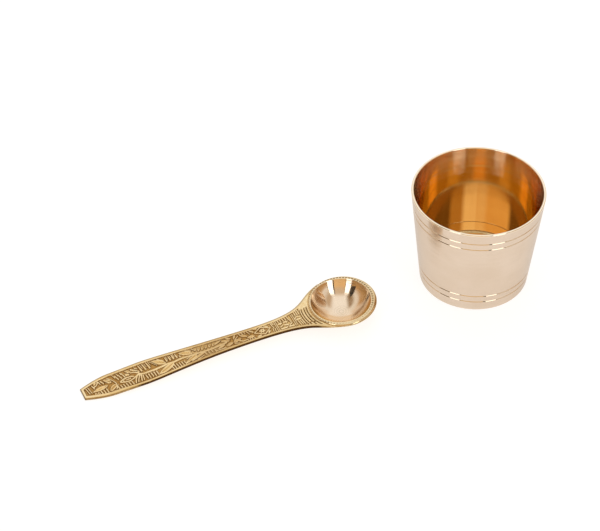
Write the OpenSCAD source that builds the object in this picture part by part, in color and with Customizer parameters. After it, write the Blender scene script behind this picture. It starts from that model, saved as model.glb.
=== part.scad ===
// Panchpatra set: a turned brass cup for ritual water and the chased spoon that serves from it.
// Millimetres, +Z up. The origin is the centre of the cup's foot, on the table that both pieces stand on.
// The spoon lies beside the cup, on the bottom of its bowl and the end of its handle.

/* [Cup wall] */
// Outside diameter at the rim
rim_d = 65; // [56:0.5:76]
// Outside diameter of the wall's cone where it meets the table
base_d = 53.2; // [46:0.2:60]
// Height from the table to the rim
cup_h = 54.4; // [44:0.2:70]
// Thickness of the wall, measured level
wall_t = 1.3; // [1:0.05:2]
// Rounding of the bottom outer edge
edge_r = 1; // [0.4:0.05:1.2]
// Rounding of the two edges of the rim
lip_r = 0.45; // [0.2:0.05:0.5]

/* [Turned grooves] */
// Width of a groove at the surface
groove_w = 0.7; // [0.3:0.05:1.2]
// Depth of a groove
groove_depth = 0.3; // [0.1:0.05:0.5]
// Height of the lowest groove, and depth of the highest one under the rim
groove_inset = 6.2; // [4:0.1:10]
// Spacing of the two grooves of a pair
groove_pitch = 4; // [2:0.1:6]

/* [Cup base] */
// Thickness of the base disc, whose top is the floor of the cup
base_t = 4; // [2.5:0.1:6]
// Width of the ring that the base stands on
foot_w = 6; // [4:0.5:12]
// Depth of the turned hollow inside that ring
hollow_depth = 1; // [0.2:0.05:2]
// Gap between disc and wall that the braze fills
cup_braze_gap = 0.2; // [0.1:0.05:0.3]
// Leg of the braze fillet in the corner of the floor
cup_braze_leg = 1; // [0.6:0.1:2]

/* [Spoon bowl] */
// Outside diameter of the bowl
bowl_d = 33.5; // [28:0.2:38]
// Width of the flat rim around the dish
bowl_rim_w = 2; // [1.2:0.1:3]
// Thickness of that rim at its edge
bowl_rim_t = 1.3; // [1:0.1:2]
// Depth of the dish below the rim
dish_depth = 8; // [6:0.1:10]
// Thickness of the metal under the dish
bowl_t = 1.4; // [1:0.1:2]

/* [Spoon handle] */
// Length of the whole spoon
spoon_l = 151.4; // [136:0.2:166]
// Width of the square-cut end
tip_w = 7.1; // [5:0.1:9]
// Width at the shoulder, where the end starts to narrow
shoulder_w = 13.9; // [10:0.1:16]
// Distance of the shoulder from the end
shoulder_at = 15.9; // [10:0.1:20]
// Greatest width
belly_w = 14.7; // [11:0.1:17]
// Distance of the greatest width from the end
belly_at = 30.3; // [24:0.1:40]
// Least width, at the waist
waist_w = 9.2; // [6:0.1:11]
// Distance of the waist from the edge of the bowl
waist_at = 27.5; // [20:0.5:36]
// How far round the bowl each side of the flare reaches, from the handle's middle
wing_angle = 70; // [50:1:80]
// Thickness left where the flare runs out along the bowl
wing_t = 0.4; // [0.3:0.05:0.8]
// Thickness of the handle at the bowl
neck_t = 1.5; // [1.2:0.05:2.4]
// Thickness of the handle at its end
tip_t = 1.2; // [0.9:0.05:2]
// How far the neck dips below the bowl's rim
neck_dip = 1.5; // [0:0.05:2]
// Distance of that dip from the edge of the bowl
neck_at = 11.5; // [8:0.5:16]
// How far the outer part of the handle stands above the bowl's rim
end_rise = 0.3; // [0:0.05:1]
// Distance from the end over which the top is level
level_l = 44; // [30:1:60]
// Gap between bowl and handle that the braze fills
spoon_braze_gap = 0.2; // [0.1:0.05:0.3]

/* [Layout on the table] */
// Clear distance between the cup's rim and the spoon's bowl
spoon_gap = 23.1; // [5:0.2:60]
// Bearing of the bowl from the cup, turned from -X towards -Y
spoon_bearing = 24; // [0:0.1:60]
// Direction of the handle, turned the same way
spoon_yaw = 24.1; // [0:0.1:60]

/* [Hidden] */
$fn = 128;

brass_cup = [0.85, 0.68, 0.5];
brass_spoon = [0.8, 0.62, 0.34];
braze_alloy = [0.87, 0.78, 0.56];

// Steps along an arc or a curve of an outline
arc_steps = 8;
curve_steps = 14;
// Overlap that carries a cutting solid past what it cuts
past = 1;

// Points of an arc about a centre, from one angle to another.
function arc(centre, r, from, to, steps = arc_steps) =
    [for (i = [0:steps]) let (a = from + (to - from) * i / steps) centre + r * [cos(a), sin(a)]];

// Points of a cubic curve with its two ends and two handles.
function curve(p, steps = curve_steps) =
    [for (i = [0:steps])
        let (u = i / steps, v = 1 - u)
        v * v * v * p[0] + 3 * v * v * u * p[1] + 3 * v * u * u * p[2] + u * u * u * p[3]];

function mirrored(points) = [for (i = [len(points) - 1:-1:0]) [points[i].x, -points[i].y]];

// Cup: radius of the wall's two faces at a height, and the wall's lean from upright.
wall_lean = atan((rim_d - base_d) / 2 / cup_h);
function r_out(z) = base_d / 2 + tan(wall_lean) * z;
function r_in(z) = r_out(z) - wall_t;

// Centre of a rounding between a level edge at height z and a face of the wall, on the metal side.
function edge_centre(z, r) = [r_out(z) - r / cos(wall_lean), z];
function inner_edge_centre(z, r) = [r_in(z) + r / cos(wall_lean), z];

groove_heights = [
    groove_inset,
    groove_inset + groove_pitch,
    cup_h - groove_inset - groove_pitch,
    cup_h - groove_inset
];

// One groove as three points, from its lower edge to its upper one.
function groove(z) = [
    [r_out(z - groove_w / 2), z - groove_w / 2],
    [r_out(z) - groove_depth, z],
    [r_out(z + groove_w / 2), z + groove_w / 2]
];

// Spoon: the dish and the back of the bowl are spheres, set out from the centre of the rim's face.
bowl_r = bowl_d / 2;
dish_r = bowl_r - bowl_rim_w;
dish_ball_r = (dish_r * dish_r + dish_depth * dish_depth) / (2 * dish_depth);
dish_ball_z = dish_ball_r - dish_depth;
bowl_depth = dish_depth + bowl_t;
back_rise = bowl_depth - bowl_rim_t;
back_ball_r = (bowl_r * bowl_r + back_rise * back_rise) / (2 * back_rise);
back_ball_z = back_ball_r - bowl_depth;

// Handle outline, along +X from the centre of the bowl. The flare leaves the bowl's edge along that edge.
tip_x = spoon_l - bowl_r;
waist_x = bowl_r + waist_at;
belly_x = tip_x - belly_at;
shoulder_x = tip_x - shoulder_at;
wing_end = (bowl_r + wing_t) * [cos(wing_angle), sin(wing_angle)];
along_bowl = [sin(wing_angle), -cos(wing_angle)];
// Share of its stretch for which a curve keeps the direction that it starts or ends with
flare_out = 0.55;
flare_in = 1.05;
waist_ease = 0.48;
belly_ease = 0.17;
shoulder_ease = 0.4;
end_ease = 0.25;
end_fullness = 0.4;

far_side = concat(
    curve([
        wing_end,
        wing_end + along_bowl * flare_out * waist_at,
        [waist_x - flare_in * waist_at, waist_w / 2],
        [waist_x, waist_w / 2]
    ]),
    curve([
        [waist_x, waist_w / 2],
        [waist_x + waist_ease * (belly_x - waist_x), waist_w / 2],
        [belly_x - belly_ease * (belly_x - waist_x), belly_w / 2],
        [belly_x, belly_w / 2]
    ]),
    curve([
        [shoulder_x, shoulder_w / 2],
        [shoulder_x + shoulder_ease * shoulder_at, shoulder_w / 2],
        [tip_x - end_ease * shoulder_at, (tip_w + end_fullness * (shoulder_w - tip_w)) / 2],
        [tip_x, tip_w / 2]
    ])
);

// Handle profile: the top dips from the bowl's rim to the neck and rises again towards the end.
dip_x = bowl_r + neck_at;
level_x = tip_x - level_l;
dip_middle = (wing_end.x + dip_x) / 2;
rise_leaves = 0.25;
rise_arrives = 0.5;
top_line = concat(
    [[0, 0]],
    curve([[wing_end.x, 0], [dip_middle, 0], [dip_middle, -neck_dip], [dip_x, -neck_dip]]),
    curve([
        [dip_x, -neck_dip],
        [dip_x + rise_leaves * (level_x - dip_x), -neck_dip],
        [level_x - rise_arrives * (level_x - dip_x), end_rise],
        [level_x, end_rise]
    ]),
    [[tip_x, end_rise]]
);
function handle_t(x) = neck_t + (tip_t - neck_t) * max(0, x - bowl_r) / (tip_x - bowl_r);
bottom_line = [for (i = [len(top_line) - 1:-1:0]) top_line[i] - [0, handle_t(top_line[i].x)]];

// The spoon leans until the end of its handle meets the table that the back of its bowl stands on.
end_drop = back_ball_z - end_rise + tip_t;
spoon_tilt = asin(back_ball_r / norm([tip_x, end_drop])) - atan2(end_drop, tip_x);
bowl_away = rim_d / 2 + spoon_gap + bowl_r;

module on_table()
    translate([-bowl_away * cos(spoon_bearing), -bowl_away * sin(spoon_bearing), back_ball_r])
    rotate([0, 0, 180 + spoon_yaw])
    rotate([0, spoon_tilt, 0])
    translate([0, 0, -back_ball_z])
    children();

// The wall is a tapered ring with two pairs of grooves turned into its outside.
module cup_wall()
    color(brass_cup)
    rotate_extrude()
    polygon(concat(
        [[r_in(0), 0]],
        arc(edge_centre(edge_r, edge_r), edge_r, -90, -wall_lean),
        [for (z = groove_heights, p = groove(z)) p],
        arc(edge_centre(cup_h - lip_r, lip_r), lip_r, -wall_lean, 90),
        arc(inner_edge_centre(cup_h - lip_r, lip_r), lip_r, 90, 180 - wall_lean)
    ));

// The base is a disc with a bevelled edge that drops into the wall, hollowed underneath so it stands on a ring.
module cup_base()
    color(brass_cup)
    difference() {
        cylinder(h = base_t, r1 = r_in(0) - cup_braze_gap, r2 = r_in(base_t) - cup_braze_gap);
        translate([0, 0, -past])
            cylinder(h = past + hollow_depth, r = r_in(0) - cup_braze_gap - foot_w);
    }

// The braze fills the gap round the disc and stands as a hollow fillet in the corner of the floor.
module cup_braze() {
    floor_edge = r_in(base_t);
    fillet_top = base_t + cup_braze_leg;
    // Share of the leg by which the face of the fillet is hollow
    hollow = 0.45;
    color(braze_alloy)
    rotate_extrude()
    polygon(concat(
        [[r_in(0), 0], [r_in(fillet_top), fillet_top]],
        curve([
            [r_in(fillet_top), fillet_top],
            [floor_edge, base_t + hollow * cup_braze_leg],
            [floor_edge - hollow * cup_braze_leg, base_t],
            [floor_edge - cup_braze_leg, base_t]
        ], arc_steps),
        [[floor_edge - cup_braze_gap, base_t], [r_in(0) - cup_braze_gap, 0]]
    ));
}

// The bowl without its dish, grown by a gap on its outside.
module bowl_back(gap = 0)
    intersection() {
        translate([0, 0, back_ball_z]) sphere(r = back_ball_r + gap);
        translate([0, 0, -bowl_depth - past]) cylinder(h = bowl_depth + past, r = bowl_r + gap);
    }

// The handle with its inner end still square, before the bowl is let into it.
module handle_blank()
    intersection() {
        translate([0, 0, -bowl_depth]) linear_extrude(height = 2 * bowl_depth)
            polygon(concat(far_side, mirrored(far_side)));
        rotate([90, 0, 0]) linear_extrude(height = 2 * bowl_d, center = true)
            polygon(concat(top_line, bottom_line));
    }

module spoon_bowl()
    color(brass_spoon)
    on_table()
    difference() {
        bowl_back();
        translate([0, 0, dish_ball_z]) sphere(r = dish_ball_r);
    }

module spoon_handle()
    color(brass_spoon)
    on_table()
    difference() {
        handle_blank();
        bowl_back(spoon_braze_gap);
    }

// The braze is the thin seam between the hollowed end of the handle and the bowl.
module spoon_braze()
    color(braze_alloy)
    on_table()
    intersection() {
        handle_blank();
        difference() {
            bowl_back(spoon_braze_gap);
            bowl_back();
        }
    }

cup_wall();
cup_base();
cup_braze();
spoon_bowl();
spoon_handle();
spoon_braze();
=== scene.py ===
# Brass panchpatra set: a turned water cup and the chased spoon that serves from it, over the CAD frame.
# Sizes are in millimetres, as in the part's source, and become metres where a mesh is made.
import math
import bmesh
import bpy
import numpy as np
from mathutils import Matrix


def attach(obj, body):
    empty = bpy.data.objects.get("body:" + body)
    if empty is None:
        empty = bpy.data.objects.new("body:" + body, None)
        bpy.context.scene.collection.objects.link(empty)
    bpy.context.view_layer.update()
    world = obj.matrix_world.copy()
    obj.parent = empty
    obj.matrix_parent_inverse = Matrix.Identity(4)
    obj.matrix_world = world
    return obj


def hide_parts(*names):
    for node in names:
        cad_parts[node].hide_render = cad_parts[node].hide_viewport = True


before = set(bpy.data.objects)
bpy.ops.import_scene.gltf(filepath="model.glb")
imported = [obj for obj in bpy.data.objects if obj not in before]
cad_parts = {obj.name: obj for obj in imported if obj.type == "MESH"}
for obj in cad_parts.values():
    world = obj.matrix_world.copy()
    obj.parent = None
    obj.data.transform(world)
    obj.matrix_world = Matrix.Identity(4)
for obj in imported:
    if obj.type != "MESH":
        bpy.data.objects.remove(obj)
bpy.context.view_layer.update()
scene = bpy.context.scene

# Cup wall
# The tapered ring of the cup, brass cast in the rough and turned inside and out on a lathe, with two pairs
# of fine grooves cut round it. The outside is buffed to a mirror, and the inside keeps the fine rings of the
# tool and two scored rings.
mm = 0.001
rim_d = 65.0
base_d = 53.2
cup_h = 54.4
wall_t = 1.3
edge_r = 1.0
lip_r = 0.45
groove_w = 0.7
groove_depth = 0.3
groove_inset = 6.2
groove_pitch = 4.0
score_w = 0.4
score_depth = 0.06
score_tarnish = 0.8
foot_rubbed = 0.6
shiny_cut = 0.02
cut_reach = 0.75
edge_clear = 0.4
lip_clear = 0.3
torn_most = 0.27
torn_low = 38.0
torn_high = 54.0
torn_gloss = 0.25
hair_lines_per_mm = 120.0
quarter_turn = 0.25
cup_steps = 288
groove_heights = np.array([
    groove_inset,
    groove_inset + groove_pitch,
    cup_h - groove_inset - groove_pitch,
    cup_h - groove_inset,
])
wall_lean = math.atan((rim_d - base_d) / 2 / cup_h)
lean_deg = math.degrees(wall_lean)


def outer_radius(z):
    """Radius of the wall's outside at a height, without its grooves."""
    return base_d / 2 + math.tan(wall_lean) * z


def inner_radius(z):
    """Radius of the wall's inside at a height."""
    return outer_radius(z) - wall_t


def arc(centre, radius, start, end, steps=8):
    """Points of an arc about a centre, from one angle in degrees to another."""
    turn = np.radians(np.linspace(start, end, steps + 1))
    return np.column_stack([centre[0] + radius * np.cos(turn), centre[1] + radius * np.sin(turn)])


def groove_share(z, heights, width):
    """How deep in one of several grooves a height lies, from 0 at the surface to 1 at the bottom."""
    away = np.abs(z[:, None] - heights).min(axis=1)
    return 0.5 + 0.5 * np.cos(np.pi * np.clip(2 * away / width, 0, 1))


def lathe(outline, steps):
    """Rings of points that an outline of radius and height leaves as it turns about the vertical."""
    turn = np.linspace(0, 2 * np.pi, steps, endpoint=False)
    radius = outline[:, :1]
    height = np.broadcast_to(outline[:, 1:2], (len(outline), steps))
    return np.stack([radius * np.cos(turn), radius * np.sin(turn), height], axis=-1)


def skin(name, rings, joined=False, capped=(), more_faces=(), **marks):
    """A mesh over rings of points. The last ring may join the first, and capped rings close on a middle
    point. Marks are named values of each ring or point. The mesh keeps them, and the place in millimetres,
    for its material."""
    rows, columns, _ = rings.shape
    points = rings.reshape(-1, 3)
    index = np.arange(rows * columns).reshape(rows, columns)
    around = np.vstack([index, index[:1]]) if joined else index
    here = around[:-1]
    there = around[1:]
    sides = np.stack([here, np.roll(here, -1, 1), np.roll(there, -1, 1), there], -1)
    faces = sides.reshape(-1, 4).tolist() + list(more_faces)
    for row in capped:
        middle = len(points)
        points = np.vstack([points, rings[row].mean(axis=0)])
        ring = index[row].tolist()
        faces += [(middle, a, b) for a, b in zip(ring, ring[1:] + ring[:1])]
    mesh = bpy.data.meshes.new(name)
    mesh.from_pydata((points * mm).tolist(), [], faces)
    shape = bmesh.new()
    shape.from_mesh(mesh)
    bmesh.ops.recalc_face_normals(shape, faces=shape.faces)
    shape.to_mesh(mesh)
    shape.free()
    mesh.shade_smooth()
    mesh.attributes.new("spot", "FLOAT_VECTOR", "POINT").data.foreach_set("vector", points.ravel())
    for label, value in marks.items():
        value = np.broadcast_to(np.asarray(value, float).reshape(rows, -1), (rows, columns))
        kept = np.concatenate([value.ravel(), [value[row].mean() for row in capped]])
        mesh.attributes.new(label, "FLOAT", "POINT").data.foreach_set("value", kept)
    piece = bpy.data.objects.new(name, mesh)
    scene.collection.objects.link(piece)
    return piece


def rows_beside(heights, width, count):
    """Heights of rows that lie close together at each of several cuts."""
    return (heights[:, None] + np.linspace(-cut_reach, cut_reach, count) * width).ravel()


lip_z = cup_h - lip_r
edge_middle = (outer_radius(edge_r) - edge_r / math.cos(wall_lean), edge_r)
lip_middle_out = (outer_radius(lip_z) - lip_r / math.cos(wall_lean), lip_z)
lip_middle_in = (inner_radius(lip_z) + lip_r / math.cos(wall_lean), lip_z)
scored = groove_heights[1:3]
outside_z = np.unique(np.concatenate([
    np.linspace(edge_r + edge_clear, lip_z - lip_clear, 46),
    rows_beside(groove_heights, groove_w, 15),
]).round(3))
inside_z = np.unique(np.concatenate([
    np.linspace(0, lip_z - lip_clear, 30),
    rows_beside(scored, score_w, 9),
]).round(3))[::-1]
outside_cut = groove_share(outside_z, groove_heights, groove_w)
inside_cut = groove_share(inside_z, scored, score_w)
foot_edge = arc(edge_middle, edge_r, -90, -lean_deg)
outside = np.column_stack([outer_radius(outside_z) - groove_depth * outside_cut, outside_z])
lip_out = arc(lip_middle_out, lip_r, -lean_deg, 90)
lip_in = arc(lip_middle_in, lip_r, 90, 180 - lean_deg)
inside = np.column_stack([inner_radius(inside_z) + score_depth * inside_cut, inside_z])
wall_outline = np.vstack([foot_edge, outside, lip_out, lip_in, inside])
outside_rows = len(foot_edge) + len(outside) + len(lip_out)
wall_cut = np.zeros(len(wall_outline))
wall_cut[len(foot_edge):len(foot_edge) + len(outside)] = outside_cut
wall_cut[-len(inside):] = score_tarnish * inside_cut
# The lip is marked fully, which paints a highlight along it as well as rubbing it; the foot edge and the
# shoulders of the grooves are rubbed.
wall_edge = np.concatenate([
    np.full(len(foot_edge), foot_rubbed),
    4 * outside_cut * (1 - outside_cut),
    np.ones(len(lip_out) + len(lip_in)),
    np.zeros(len(inside)),
])

# The tool tore some of its finest lines near the rim, more of them towards the top.
wall_torn = np.zeros(len(wall_outline))
wall_torn[-len(inside):] = torn_most * np.clip((inside_z - torn_low) / (torn_high - torn_low), 0, 1)
wall = skin(
    "Cup_Wall",
    lathe(wall_outline, cup_steps),
    joined=True,
    cut=wall_cut,
    edge=wall_edge,
    torn=wall_torn,
)


def blank_tree(holder):
    """The empty node tree of a material or a world."""
    holder.use_nodes = True
    holder.node_tree.nodes.clear()
    return holder.node_tree


def place(tree, kind, inputs=None, **settings):
    """Adds a node, sets its options, and sets or links its inputs."""
    made = tree.nodes.new(kind)
    for option, value in settings.items():
        setattr(made, option, value)
    for socket, value in (inputs or {}).items():
        if isinstance(value, bpy.types.NodeSocket):
            tree.links.new(value, made.inputs[socket])
        else:
            made.inputs[socket].default_value = value
    return made


def new_group(name, inputs, outputs):
    """An empty shader node group with named sockets. A default of four numbers makes a colour socket."""
    tree = bpy.data.node_groups.new(name, "ShaderNodeTree")
    for socket, default in inputs.items():
        kind = "NodeSocketColor" if isinstance(default, tuple) else "NodeSocketFloat"
        tree.interface.new_socket(socket, in_out="INPUT", socket_type=kind).default_value = default
    for socket, kind in outputs.items():
        tree.interface.new_socket(socket, in_out="OUTPUT", socket_type=kind)
    return tree, tree.nodes.new("NodeGroupInput").outputs, tree.nodes.new("NodeGroupOutput").inputs


def place_mm(tree):
    """Place on the piece, in millimetres from the point that it was set out from."""
    return place(tree, "ShaderNodeAttribute", attribute_name="spot").outputs["Vector"]


def mark(tree, name):
    """A named value that the mesh carries."""
    return place(tree, "ShaderNodeAttribute", attribute_name=name).outputs["Fac"]


def noise(tree, spot, scale, detail):
    """Cloudy values about a half, so many clouds to the millimetre."""
    return place(tree, "ShaderNodeTexNoise", {"Vector": spot, "Scale": scale, "Detail": detail}).outputs[0]


def mix_colour(tree, share, first, second):
    """A colour between two others."""
    made = place(tree, "ShaderNodeMix", {0: share, 6: first, 7: second}, data_type="RGBA")
    return made.outputs[2]


def mix_value(tree, share, first, second):
    """A value between two others."""
    return place(tree, "ShaderNodeMix", {0: share, 2: first, 3: second}, data_type="FLOAT").outputs[0]


def calculate(tree, operation, first, second=0.0):
    """The result of one sum."""
    return place(tree, "ShaderNodeMath", {0: first, 1: second}, operation=operation).outputs[0]


def calculate_vector(tree, operation, first, second=(0, 0, 0)):
    """The result of one sum with vectors."""
    return place(tree, "ShaderNodeVectorMath", {0: first, 1: second}, operation=operation).outputs


def spread(tree, value, low, high, to_low=0.0, to_high=1.0):
    """A value carried from one range to another, and kept in it."""
    inputs = {"Value": value, "From Min": low, "From Max": high, "To Min": to_low, "To Max": to_high}
    return place(tree, "ShaderNodeMapRange", inputs).outputs["Result"]


# Brass is never one even colour: slow patches and a fine grain lie between a pale and a deep tone.
brass_tone, given, result = new_group(
    "Brass Tone",
    {"Pale": (0.8, 0.6, 0.4, 1), "Deep": (0.7, 0.5, 0.3, 1), "Patches": 0.1},
    {"Color": "NodeSocketColor"},
)
spot = place_mm(brass_tone)
patch = spread(brass_tone, noise(brass_tone, spot, given["Patches"], 3.0), 0.35, 0.65, 0.0, 0.75)
grain = spread(brass_tone, noise(brass_tone, spot, 1.7, 2.0), 0.4, 0.6, 0.0, 0.25)
tone = calculate(brass_tone, "ADD", patch, grain)
brass_tone.links.new(mix_colour(brass_tone, tone, given["Pale"], given["Deep"]), result["Color"])

# The tool leaves fine rings about the turning axis, each a little different from the next.
turning_lines, given, result = new_group(
    "Turning Lines",
    {"Pitch": 0.3},
    {"Height": "NodeSocketFloat", "Streak": "NodeSocketFloat", "Hair Line": "NodeSocketFloat"},
)
spot = place_mm(turning_lines)
axes = place(turning_lines, "ShaderNodeSeparateXYZ", {0: spot}).outputs
flat_spot = place(turning_lines, "ShaderNodeCombineXYZ", {0: axes["X"], 1: axes["Y"]}).outputs[0]
radius = calculate_vector(turning_lines, "LENGTH", flat_spot)["Value"]
facing = calculate_vector(turning_lines, "NORMALIZE", flat_spot)[0]
facing_axes = place(turning_lines, "ShaderNodeSeparateXYZ", {0: facing}).outputs
ring = calculate(turning_lines, "ADD", axes["Z"], radius)
ring_share = calculate(turning_lines, "DIVIDE", ring, given["Pitch"])
unrolled = place(
    turning_lines,
    "ShaderNodeCombineXYZ",
    {0: ring_share, 1: facing_axes["X"], 2: facing_axes["Y"]},
).outputs[0]
streak = spread(turning_lines, noise(turning_lines, unrolled, 0.13, 4.0), 0.35, 0.65)
hair_line = calculate(turning_lines, "FLOOR", calculate(turning_lines, "MULTIPLY", ring, hair_lines_per_mm))
hair_noise = place(turning_lines, "ShaderNodeTexWhiteNoise", {"W": hair_line}, noise_dimensions="1D")
turning_lines.links.new(noise(turning_lines, unrolled, 1.0, 2.0), result["Height"])
turning_lines.links.new(streak, result["Streak"])
turning_lines.links.new(hair_noise.outputs["Value"], result["Hair Line"])

# Handling brightens the edges, and tarnish stays in the cuts, where a cloth does not reach. The edge mark
# also paints highlights where it is set for them, and a dark mark lays painted shade together with tarnish.
wear_and_painted_light, given, result = new_group(
    "Wear Tarnish And Painted Light",
    {
        "Color": (0.8, 0.6, 0.4, 1),
        "Bright": (0.9, 0.7, 0.5, 1),
        "Dark": (0.2, 0.1, 0.03, 1),
        "Shade And Tarnish": (0.05, 0.03, 0.015, 1),
        "Roughness": 0.1,
        "Dull": 0.4,
        "Tarnish": 0.8,
    },
    {"Color": "NodeSocketColor", "Roughness": "NodeSocketFloat"},
)
stain_noise = noise(wear_and_painted_light, place_mm(wear_and_painted_light), 0.9, 4.0)
stain = spread(wear_and_painted_light, stain_noise, 0.3, 0.7, 0.65, 1.0)
cut_stain = calculate(wear_and_painted_light, "MULTIPLY", mark(wear_and_painted_light, "cut"), stain)
tarnish = calculate(wear_and_painted_light, "MULTIPLY", cut_stain, given["Tarnish"])
rubbed_and_lit = calculate(wear_and_painted_light, "MULTIPLY", mark(wear_and_painted_light, "edge"), spread(wear_and_painted_light, stain_noise, 0.35, 0.65, 0.3, 0.8))
rubbed_and_lit_colour = mix_colour(wear_and_painted_light, rubbed_and_lit, given["Color"], given["Bright"])
stained_colour = mix_colour(wear_and_painted_light, tarnish, rubbed_and_lit_colour, given["Dark"])
shaded_share = calculate(wear_and_painted_light, "MULTIPLY", mark(wear_and_painted_light, "grime"), stain)
wear_and_painted_light.links.new(mix_colour(wear_and_painted_light, shaded_share, stained_colour, given["Shade And Tarnish"]), result["Color"])
wear_and_painted_light.links.new(mix_value(wear_and_painted_light, tarnish, given["Roughness"], given["Dull"]), result["Roughness"])


def brass(
    name, tone_values, wear_and_light_values, gloss, lines=None, line_depth=0.0, scratch=0.0, torn_rise=0.0,
    brushed=0.0, mirror_tint=(1, 1, 1, 1),
):
    """A brass finish: its tone, its turning lines and scratches, and the wear, tarnish and painted light
    over them.
    Gloss is the roughness on the smooth and on the streaked places, and depths are in millimetres. Where the
    mesh is marked as torn, that share of the hair lines is duller, and their faces lean up by the rise. A
    brushed finish draws reflections out across its turning lines."""
    finish = bpy.data.materials.new(name)
    tree = blank_tree(finish)
    tone = place(tree, "ShaderNodeGroup", tone_values, node_tree=brass_tone)
    scratches = noise(tree, place_mm(tree), 2.2, 5.0)
    height = calculate(tree, "MULTIPLY", scratches, scratch * mm)
    streak = scratches
    if lines:
        turning = place(tree, "ShaderNodeGroup", {"Pitch": lines}, node_tree=turning_lines)
        rings = calculate(tree, "MULTIPLY", turning.outputs["Height"], line_depth * mm)
        height = calculate(tree, "ADD", height, rings)
        streak = turning.outputs["Streak"]
    rough = spread(tree, streak, 0.0, 1.0, *gloss)
    normal = place(tree, "ShaderNodeBump", {"Height": height, "Distance": 1.0, "Strength": 1.0}).outputs[0]
    if torn_rise:
        torn_line = calculate(tree, "LESS_THAN", turning.outputs["Hair Line"], mark(tree, "torn"))
        rough = mix_value(tree, torn_line, rough, torn_gloss)
        smooth_face = place(tree, "ShaderNodeNewGeometry").outputs["Normal"]
        lean = calculate_vector(tree, "ADD", smooth_face, (0, 0, torn_rise))[0]
        torn_face = calculate_vector(tree, "NORMALIZE", lean)[0]
        faces = {0: torn_line, 4: normal, 5: torn_face}
        normal = place(tree, "ShaderNodeMix", faces, data_type="VECTOR").outputs[1]
    worn_and_lit_values = {"Color": tone.outputs["Color"], "Roughness": rough, **wear_and_light_values}
    worn_and_lit = place(tree, "ShaderNodeGroup", worn_and_lit_values, node_tree=wear_and_painted_light)
    shader = place(tree, "ShaderNodeBsdfPrincipled", {
        "Base Color": worn_and_lit.outputs["Color"],
        "Roughness": worn_and_lit.outputs["Roughness"],
        "Normal": normal,
        "Metallic": 1.0,
        "Anisotropic": brushed,
        "Anisotropic Rotation": quarter_turn if brushed else 0.0,
        "Specular Tint": mirror_tint,
    })
    place(tree, "ShaderNodeOutputMaterial", {"Surface": shader.outputs[0]})
    return finish


cup_outside_brass = brass(
    "Cup Outside Brass",
    {"Pale": (0.745, 0.61, 0.485, 1), "Deep": (0.70, 0.56, 0.43, 1), "Patches": 0.06},
    {"Bright": (0.93, 0.80, 0.64, 1), "Dark": (0.33, 0.2, 0.09, 1), "Dull": 0.22, "Tarnish": 0.45},
    gloss=(0.15, 0.21),
    lines=0.35,
    line_depth=0.0006,
    scratch=0.0004,
    brushed=0.9,
    mirror_tint=(0.8, 0.78, 0.76, 1),
)
# A lighter brass for the lip and the grooves, which paints the bright line along the lip.
cup_lip_highlight_brass = brass(
    "Cup Lip Highlight Brass",
    {"Pale": (0.94, 0.80, 0.60, 1), "Deep": (0.90, 0.74, 0.53, 1), "Patches": 0.06},
    {"Bright": (0.98, 0.88, 0.72, 1), "Dark": (0.33, 0.2, 0.09, 1), "Dull": 0.06, "Tarnish": 0.45},
    gloss=(0.03, 0.05),
    lines=0.35,
    line_depth=0.0004,
    scratch=0.0004,
)
cup_inside_brass = brass(
    "Cup Inside Brass",
    {"Pale": (0.91, 0.715, 0.45, 1), "Deep": (0.88, 0.665, 0.40, 1), "Patches": 0.08},
    {"Bright": (0.93, 0.78, 0.60, 1), "Dark": (0.2, 0.1, 0.03, 1), "Dull": 0.3, "Tarnish": 0.9},
    gloss=(0.04, 0.08),
    lines=0.28,
    line_depth=0.0002,
    scratch=0.0002,
    torn_rise=0.7,
    brushed=1.0,
    mirror_tint=(0.75, 0.66, 0.4, 1),
)
for finish in (cup_outside_brass, cup_lip_highlight_brass, cup_inside_brass):
    wall.data.materials.append(finish)

# The grooves and the lip are polished smoother than the rest of the outside, and their lighter brass paints
# a highlight on them.
face_finish = np.zeros(len(wall_outline), np.int32)
face_finish[wall_cut > shiny_cut] = 1
face_finish[outside_rows - len(lip_out):outside_rows + len(lip_in)] = 1
face_finish[outside_rows + len(lip_in):-1] = 2
wall.data.polygons.foreach_set("material_index", np.repeat(face_finish, cup_steps))
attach(wall, "cup")
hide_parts("cup_wall")

# Cup base
# A brass disc with a bevelled edge, dropped into the foot of the wall and brazed there. It is turned hollow
# underneath, so that the cup stands on a ring, and faced with the same fine rings above.
base_t = 4.0
foot_w = 6.0
hollow_depth = 1.0
cup_braze_gap = 0.2
break_r = 0.15
middle_r = 0.4
hollow_clear = 0.5
disc_r = inner_radius(0) - cup_braze_gap
disc_top_r = inner_radius(base_t) - cup_braze_gap
hollow_r = disc_r - foot_w
base_outline = np.array(
    [(r, base_t) for r in np.linspace(middle_r, disc_top_r - 2 * break_r, 40)]
    + [(disc_top_r, base_t), (disc_r, break_r), (disc_r - break_r, 0)]
    + [(r, 0) for r in np.linspace(disc_r - 4 * break_r, hollow_r + 4 * break_r, 8)]
    + [(hollow_r + break_r, 0), (hollow_r, break_r), (hollow_r, hollow_depth - break_r)]
    + [(hollow_r - break_r, hollow_depth)]
    + [(r, hollow_depth) for r in np.linspace(hollow_r - hollow_clear, middle_r, 24)]
)
base = skin("Cup_Base", lathe(base_outline, cup_steps), capped=(0, -1))
base.data.materials.append(cup_inside_brass)
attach(base, "cup")
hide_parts("cup_base")

# Cup braze
# The seam that joins base and wall: a paler filler alloy drawn into the gap, with a small hollow fillet that
# is left in the corner of the floor.
cup_braze_leg = 1.0
fillet_hollow = 0.45
fillet_tarnish = 0.45


def cubic(ends, steps):
    """Points of a cubic curve with its two ends and two handles."""
    p = np.array(ends, float)
    u = np.linspace(0, 1, steps + 1)[:, None]
    v = 1 - u
    return v**3 * p[0] + 3 * v**2 * u * p[1] + 3 * v * u**2 * p[2] + u**3 * p[3]


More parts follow.
